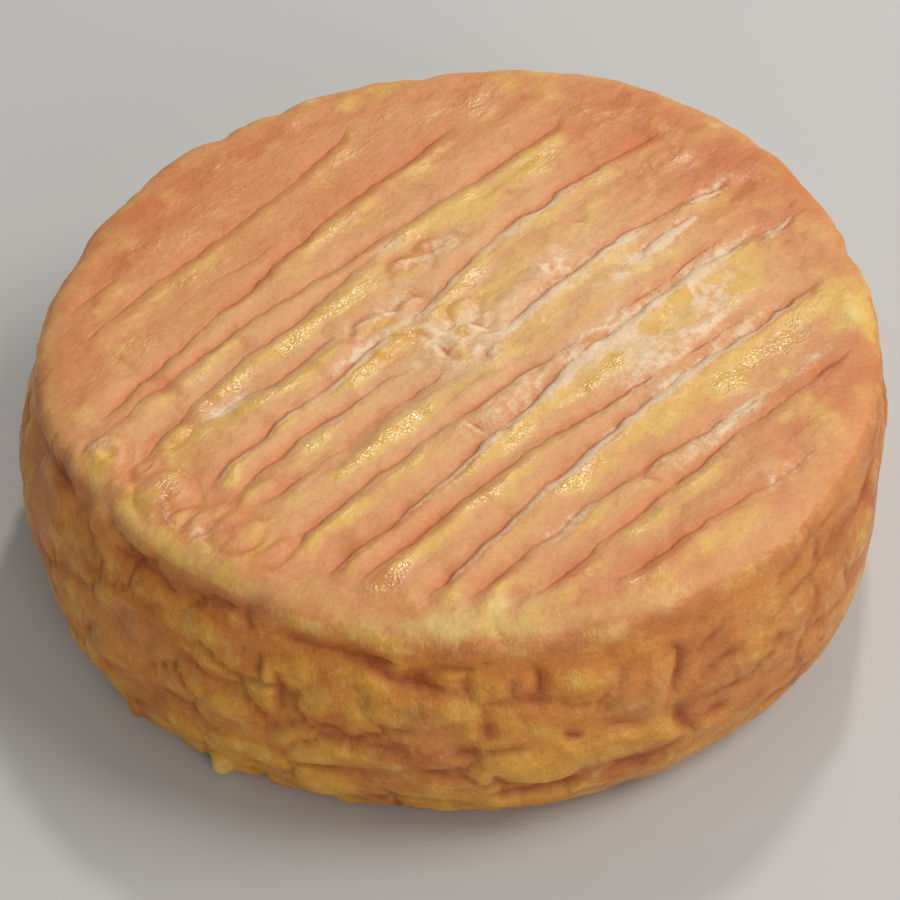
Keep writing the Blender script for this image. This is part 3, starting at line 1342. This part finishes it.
class Graph:
    """The nodes of one material."""

    def __init__(self, material: bpy.types.Material) -> None:
        """Take a material's node tree and its shader.

        Args:
            material: The material, whose nodes are switched on.
        """
        material.use_nodes = True
        self.tree = material.node_tree
        self.shader = self.tree.nodes["Principled BSDF"]

    def node(self, kind: str, settings: dict[str, Any], inputs: dict[Any, Any]) -> bpy.types.Node:
        """Add a node.

        Args:
            kind: The node's type.
            settings: Its settings, which are set first.
            inputs: Values or links of its sockets, by name or number.

        Returns:
            The node.
        """
        node = self.tree.nodes.new(kind)
        for name, value in settings.items():
            setattr(node, name, value)
        self.feed(node, inputs)
        return node

    def feed(self, node: bpy.types.Node, inputs: dict[Any, Any]) -> None:
        """Link a node's sockets to values, or set plain values on them.

        Args:
            node: The node.
            inputs: Values or links of its sockets, by name or number.
        """
        for name, value in inputs.items():
            if isinstance(value, Socket):
                self.tree.links.new(value.link, node.inputs[name])
            else:
                node.inputs[name].default_value = value

    def mask(self, mask: Mask) -> Socket:
        """Return a mask of the mesh."""
        node = self.node("ShaderNodeAttribute", {"attribute_name": mask.value}, {})
        return Socket(self, node.outputs["Fac"])

    def noise(self, sizes: Sizes, detail: float = 2.0, roughness: float = 0.5) -> Socket:
        """Return noise from 0 to 1.

        Args:
            sizes: Size of its features along each axis in millimetres.
            detail: Number of finer layers.
            roughness: Strength of the finer layers.

        Returns:
            The noise.
        """
        place = self.node("ShaderNodeTexCoord", {}, {})
        scale = tuple(1.0 / (size * MM) for size in sizes)
        scaled = self.node("ShaderNodeVectorMath", {"operation": "MULTIPLY"},
                           {0: Socket(self, place.outputs["Object"]), 1: scale})
        node = self.node("ShaderNodeTexNoise", {},
                         {"Vector": Socket(self, scaled.outputs[0]), "Scale": 1.0,
                          "Detail": detail, "Roughness": roughness})
        return Socket(self, node.outputs[0])

    def mix(self, first: Any, second: Any, factor: Any, blend: str = "MIX") -> Socket:
        """Return a mix of two colours.

        Args:
            first: The colour at factor 0.
            second: The colour at factor 1.
            factor: How much of the second.
            blend: The way they mix.

        Returns:
            The mixed colour.
        """
        settings = {"data_type": "RGBA", "blend_type": blend, "clamp_factor": True}
        node = self.node("ShaderNodeMix", settings, {0: factor, 6: first, 7: second})
        return Socket(self, node.outputs[2])


@dataclass(frozen=True)
class RindFinish:
    """The moist rind: its colours, and how wet and how rough it is."""

    salmon: Colour = screen(225, 167, 107)
    ochre: Colour = screen(231, 186, 90)
    pink: Colour = screen(212, 127, 72)
    rust: Colour = screen(220, 118, 48)
    crack: Colour = screen(204, 98, 46)
    bloom: Colour = screen(244, 217, 182)
    veil: Colour = screen(229, 193, 144)
    cream: Colour = screen(236, 212, 136)
    wall_ochre: Colour = screen(234, 174, 58)
    wall_tan: Colour = screen(226, 148, 52)
    wall_rose: Colour = screen(202, 130, 80)
    wall_brown: Colour = screen(234, 144, 48)
    wall_crease: Colour = screen(160, 76, 24)
    mottle: Colour = screen(226, 206, 186)
    stain: Colour = screen(222, 188, 140)
    roughness: float = 0.54
    subsurface: float = 0.22
    subsurface_depth: float = 0.0013
    subsurface_radius: Sizes = (1.0, 0.45, 0.2)
    line_half_width: float = 0.34
    edge_side: float = -0.85
    edge_half_width: float = 0.85

    def material(self) -> bpy.types.Material:
        """Return the material of the rind.

        Returns:
            The material, with its nodes.
        """
        material = bpy.data.materials.new("moist_rind")
        graph = Graph(material)
        line = self.near_side(graph, 0.0, self.line_half_width) * graph.mask(Mask.LINE)
        edge = self.near_side(graph, self.edge_side, self.edge_half_width) * graph.mask(Mask.EDGE)
        bloom = self.bloom_amount(graph, edge) * (1.0 - 0.8 * line)
        wet = (graph.mask(Mask.WET) * (0.4 + 1.2 * graph.noise((2.6, 1.2, 1.4)))).ramp(0.24, 0.80)
        wet = wet * (1.0 - 0.8 * bloom)
        uneven = 0.14 * (graph.noise((0.9, 0.9, 0.9)) - 0.5)
        graph.shader.subsurface_method = "RANDOM_WALK"
        graph.feed(graph.shader, {
            "Base Color": self.colour(graph, bloom, line),
            "Roughness": self.roughness + 0.30 * bloom - 0.34 * wet + uneven,
            "Normal": self.skin(graph, bloom, wet, line, edge),
            "Subsurface Weight": self.subsurface,
            "Subsurface Radius": self.subsurface_radius,
            "Subsurface Scale": self.subsurface_depth,
        })
        return material

    @staticmethod
    def near_side(graph: Graph, place: float, half_width: float) -> Socket:
        """Return a thin wavering stroke at a distance from the nearest crease.

        Args:
            graph: The material's nodes.
            place: Middle of the stroke, in millimetres from the crease.
            half_width: Half its width in millimetres.

        Returns:
            How strong the stroke is, from 0 to 1.
        """
        waver = 0.45 * (graph.noise((0.9, 0.9, 0.9)) - 0.5)
        away = (graph.mask(Mask.SIDE) + waver - place).size()
        return 1.0 - away.ramp(0.0, half_width)

    @staticmethod
    def bloom_amount(graph: Graph, edge: Socket) -> Socket:
        """Return how much pale bloom lies on the rind, in webs, streaks and on crease edges.

        Args:
            graph: The material's nodes.
            edge: The pale edge beside each crease.

        Returns:
            The amount of bloom from 0 to 1.
        """
        specks = graph.noise((0.26, 0.34, 0.30), 3.0, 0.65)
        streaks = graph.noise((0.40, 1.2, 0.8), 2.0, 0.6)
        islands = graph.noise((3.8, 2.2, 3.0), 3.0, 0.55)
        web = 1.0 - (islands - 0.5).size().ramp(0.0, 0.13)
        whole = graph.mask(Mask.BLOOM) * (0.85 + 0.9 * web) + edge * 0.9
        broken = whole + 0.9 * (specks - 0.5) + 0.7 * (streaks - 0.5)
        return broken.ramp(0.10, 1.05) * whole.ramp(0.02, 0.25)

    def colour(self, graph: Graph, bloom: Socket, line: Socket) -> Socket:
        """Mix the colours of the rind.

        Args:
            graph: The material's nodes.
            bloom: How much bloom lies on the rind.
            line: The thin dark line in each crease.

        Returns:
            The base colour.
        """
        cloud = graph.noise((3.4, 2.0, 2.4), 4.0, 0.6)
        ochre = graph.mask(Mask.OCHRE)
        ochre = (ochre + (cloud - 0.5) * 1.6 * (ochre + 0.15)).ramp(0.12, 0.72)
        warm = graph.mask(Mask.WARM) * (0.4 + 1.1 * graph.noise((1.6, 0.7, 0.9), 3.0))
        top = graph.mix(self.salmon, self.pink, graph.mask(Mask.PINK))
        top = graph.mix(top, self.ochre, ochre)
        wall = graph.mix(self.wall_tan, self.wall_ochre, ochre)
        wall = graph.mix(wall, self.wall_rose, graph.mask(Mask.PINK) * 0.6)
        wall = graph.mix(wall, self.wall_brown, graph.mask(Mask.BROWN) * 0.8)
        colour = graph.mix(top, wall, graph.mask(Mask.WALL))
        veil = graph.mask(Mask.VEIL) * (0.55 + 0.9 * graph.noise((0.5, 1.3, 1.0), 3.0, 0.6))
        colour = graph.mix(colour, self.veil, veil)
        deep = graph.mix(self.rust, self.wall_crease, graph.mask(Mask.WALL))
        colour = graph.mix(colour, deep, warm * (0.60 + 0.15 * graph.mask(Mask.WALL)))
        colour = graph.mix(colour, self.crack, line * 0.75)
        colour = graph.mix(colour, self.bloom, bloom)
        colour = graph.mix(colour, self.cream, graph.mask(Mask.CREAM))
        mottle = graph.noise((0.7, 0.55, 0.6), 3.0, 0.6)
        colour = graph.mix(colour, self.mottle, (mottle - 0.30) * 1.2, "MULTIPLY")
        stain = (graph.noise((5.0, 5.0, 3.2), 4.0, 0.6) - 0.42) * 2.8
        stain = stain * (0.25 + 0.75 * graph.mask(Mask.WALL))
        return graph.mix(colour, self.stain, stain, "MULTIPLY")

    @staticmethod
    def skin(graph: Graph, bloom: Socket, wet: Socket, line: Socket, edge: Socket) -> Socket:
        """Return the normal of the skin, from heights in millimetres.

        Args:
            graph: The material's nodes.
            bloom: How much bloom lies on the rind.
            wet: How wet the rind is.
            line: The thin dark line in each crease.
            edge: The pale edge beside each crease.

        Returns:
            The normal.
        """
        pores = graph.noise((0.48, 0.38, 0.45), 1.0) * (0.025 + 0.070 * wet)
        hatch = graph.noise((0.55, 0.55, 0.80), 4.0, 0.7) * graph.mask(Mask.WALL) * 0.20
        pores = pores + graph.noise((0.26, 0.22, 0.24), 1.0) * wet * 0.034
        powder = graph.noise((0.22, 0.30, 0.25), 2.0, 0.6) * bloom * 0.09
        ripple = graph.noise((1.5, 0.9, 1.0), 3.0, 0.6) * 0.15
        creases = edge * 0.05 - line * 0.12
        height = pores + powder + ripple + hatch + creases
        bump = graph.node("ShaderNodeBump", {}, {"Strength": 1.0, "Distance": MM, "Height": height})
        return Socket(graph, bump.outputs[0])


LAMP_COLOUR = (1.0, 0.985, 0.96)


@dataclass(frozen=True)
class Lamp:
    """A round soft lamp: its direction in degrees, distance and size in metres, and power."""

    name: str
    azimuth: float
    elevation: float
    distance: float
    size: float
    power: float


@dataclass
class Studio:
    """A plain pale floor, soft light, and the camera."""

    floor_size: float = 6.0
    floor_shade: Colour = (0.56, 0.555, 0.54, 1.0)
    floor_roughness: float = 0.9
    target: tuple[float, float, float] = (-0.00150, 0.00141, 0.0160)
    distance: float = 0.257346
    elevation: float = 44.364
    roll: float = -2.118
    lens: float = 80.0
    sensor_width: float = 36.0
    clip_start: float = 0.01
    frame_size: float = 900.0
    middle: tuple[float, float] = (451.636, 413.586)
    lamps: tuple[Lamp, ...] = (
        Lamp("key", -48.0, 48.0, 0.8, 0.42, 3.1),
        Lamp("glint", 27.0, 55.0, 0.8, 0.07, 1.7),
        Lamp("front", -112.0, 22.0, 0.9, 0.40, 1.8),
    )
    fill_strength: float = 0.31
    fill_colour: Colour = (1.0, 1.0, 1.0, 1.0)

    def build(self) -> None:
        """Make the floor, the lights, the world and the camera."""
        self.make_floor()
        for lamp in self.lamps:
            self.hang(lamp)
        self.make_world()
        self.make_camera()
        bpy.context.scene.view_settings.view_transform = "Standard"

    def make_floor(self) -> None:
        """Lay the floor."""
        half = self.floor_size / 2.0
        mesh = bpy.data.meshes.new("floor")
        corners = [(-half, -half, 0.0), (half, -half, 0.0), (half, half, 0.0), (-half, half, 0.0)]
        mesh.from_pydata(corners, [], [(0, 1, 2, 3)])
        floor = bpy.data.objects.new("floor", mesh)
        bpy.context.scene.collection.objects.link(floor)
        material = bpy.data.materials.new("pale_floor")
        graph = Graph(material)
        graph.feed(graph.shader, {"Base Color": self.floor_shade, "Roughness": self.floor_roughness})
        mesh.materials.append(material)
        LOG.info("floor: %.1f m square", self.floor_size)

    @staticmethod
    def hang(lamp: Lamp) -> None:
        """Hang a round soft lamp that faces the cheese.

        Args:
            lamp: The lamp.
        """
        azimuth = math.radians(lamp.azimuth)
        elevation = math.radians(lamp.elevation)
        flat = math.cos(elevation)
        away = Vector((math.cos(azimuth) * flat, math.sin(azimuth) * flat, math.sin(elevation)))
        light = bpy.data.lights.new(lamp.name, "AREA")
        light.shape = "DISK"
        light.size = lamp.size
        light.energy = lamp.power
        light.color = LAMP_COLOUR
        holder = bpy.data.objects.new(lamp.name, light)
        holder.location = away * lamp.distance
        holder.rotation_euler = away.to_track_quat("Z", "Y").to_euler()
        bpy.context.scene.collection.objects.link(holder)
        LOG.info("%s light: %.1f W", lamp.name, lamp.power)

    def make_world(self) -> None:
        """Fill the room with even pale light."""
        world = bpy.data.worlds.new("room")
        world.use_nodes = True
        background = world.node_tree.nodes["Background"]
        background.inputs["Color"].default_value = self.fill_colour
        background.inputs["Strength"].default_value = self.fill_strength
        bpy.context.scene.world = world

    def make_camera(self) -> None:
        """Set the camera where the photograph was taken from."""
        elevation = math.radians(self.elevation)
        half = math.sqrt(0.5)
        back = Vector((-math.cos(elevation) * half, -math.cos(elevation) * half, math.sin(elevation)))
        right = Vector((half, -half, 0.0))
        up = back.cross(right)
        roll = Matrix.Rotation(math.radians(self.roll), 4, "Z")
        turn = Matrix((right, up, back)).transposed().to_4x4() @ roll
        data = bpy.data.cameras.new("camera")
        data.lens = self.lens
        data.sensor_width = self.sensor_width
        data.clip_start = self.clip_start
        data.shift_x = (self.frame_size / 2.0 - self.middle[0]) / self.frame_size
        data.shift_y = (self.middle[1] - self.frame_size / 2.0) / self.frame_size
        camera = bpy.data.objects.new("camera", data)
        camera.matrix_world = Matrix.Translation(Vector(self.target) + back * self.distance) @ turn
        bpy.context.scene.collection.objects.link(camera)
        bpy.context.scene.camera = camera
        LOG.info("camera: %.0f mm lens, %.1f degrees up", self.lens, self.elevation)


@dataclass
class Cheese:
    """The whole cheese: its body, its rind and the rind's finish."""

    body: Body = field(default_factory=Body)
    finish: RindFinish = field(default_factory=RindFinish)

    def build(self) -> None:
        """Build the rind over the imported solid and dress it."""
        rind = Rind(self.body).build()
        rind.data.materials.append(self.finish.material())
        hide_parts("cheese")
        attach(rind, "root")


def main() -> None:
    """Build the cheese and the studio."""
    logging.basicConfig(level=logging.INFO, format="%(name)s %(message)s")
    Cheese().build()
    Studio().build()


if __name__ == "__main__":
    main()
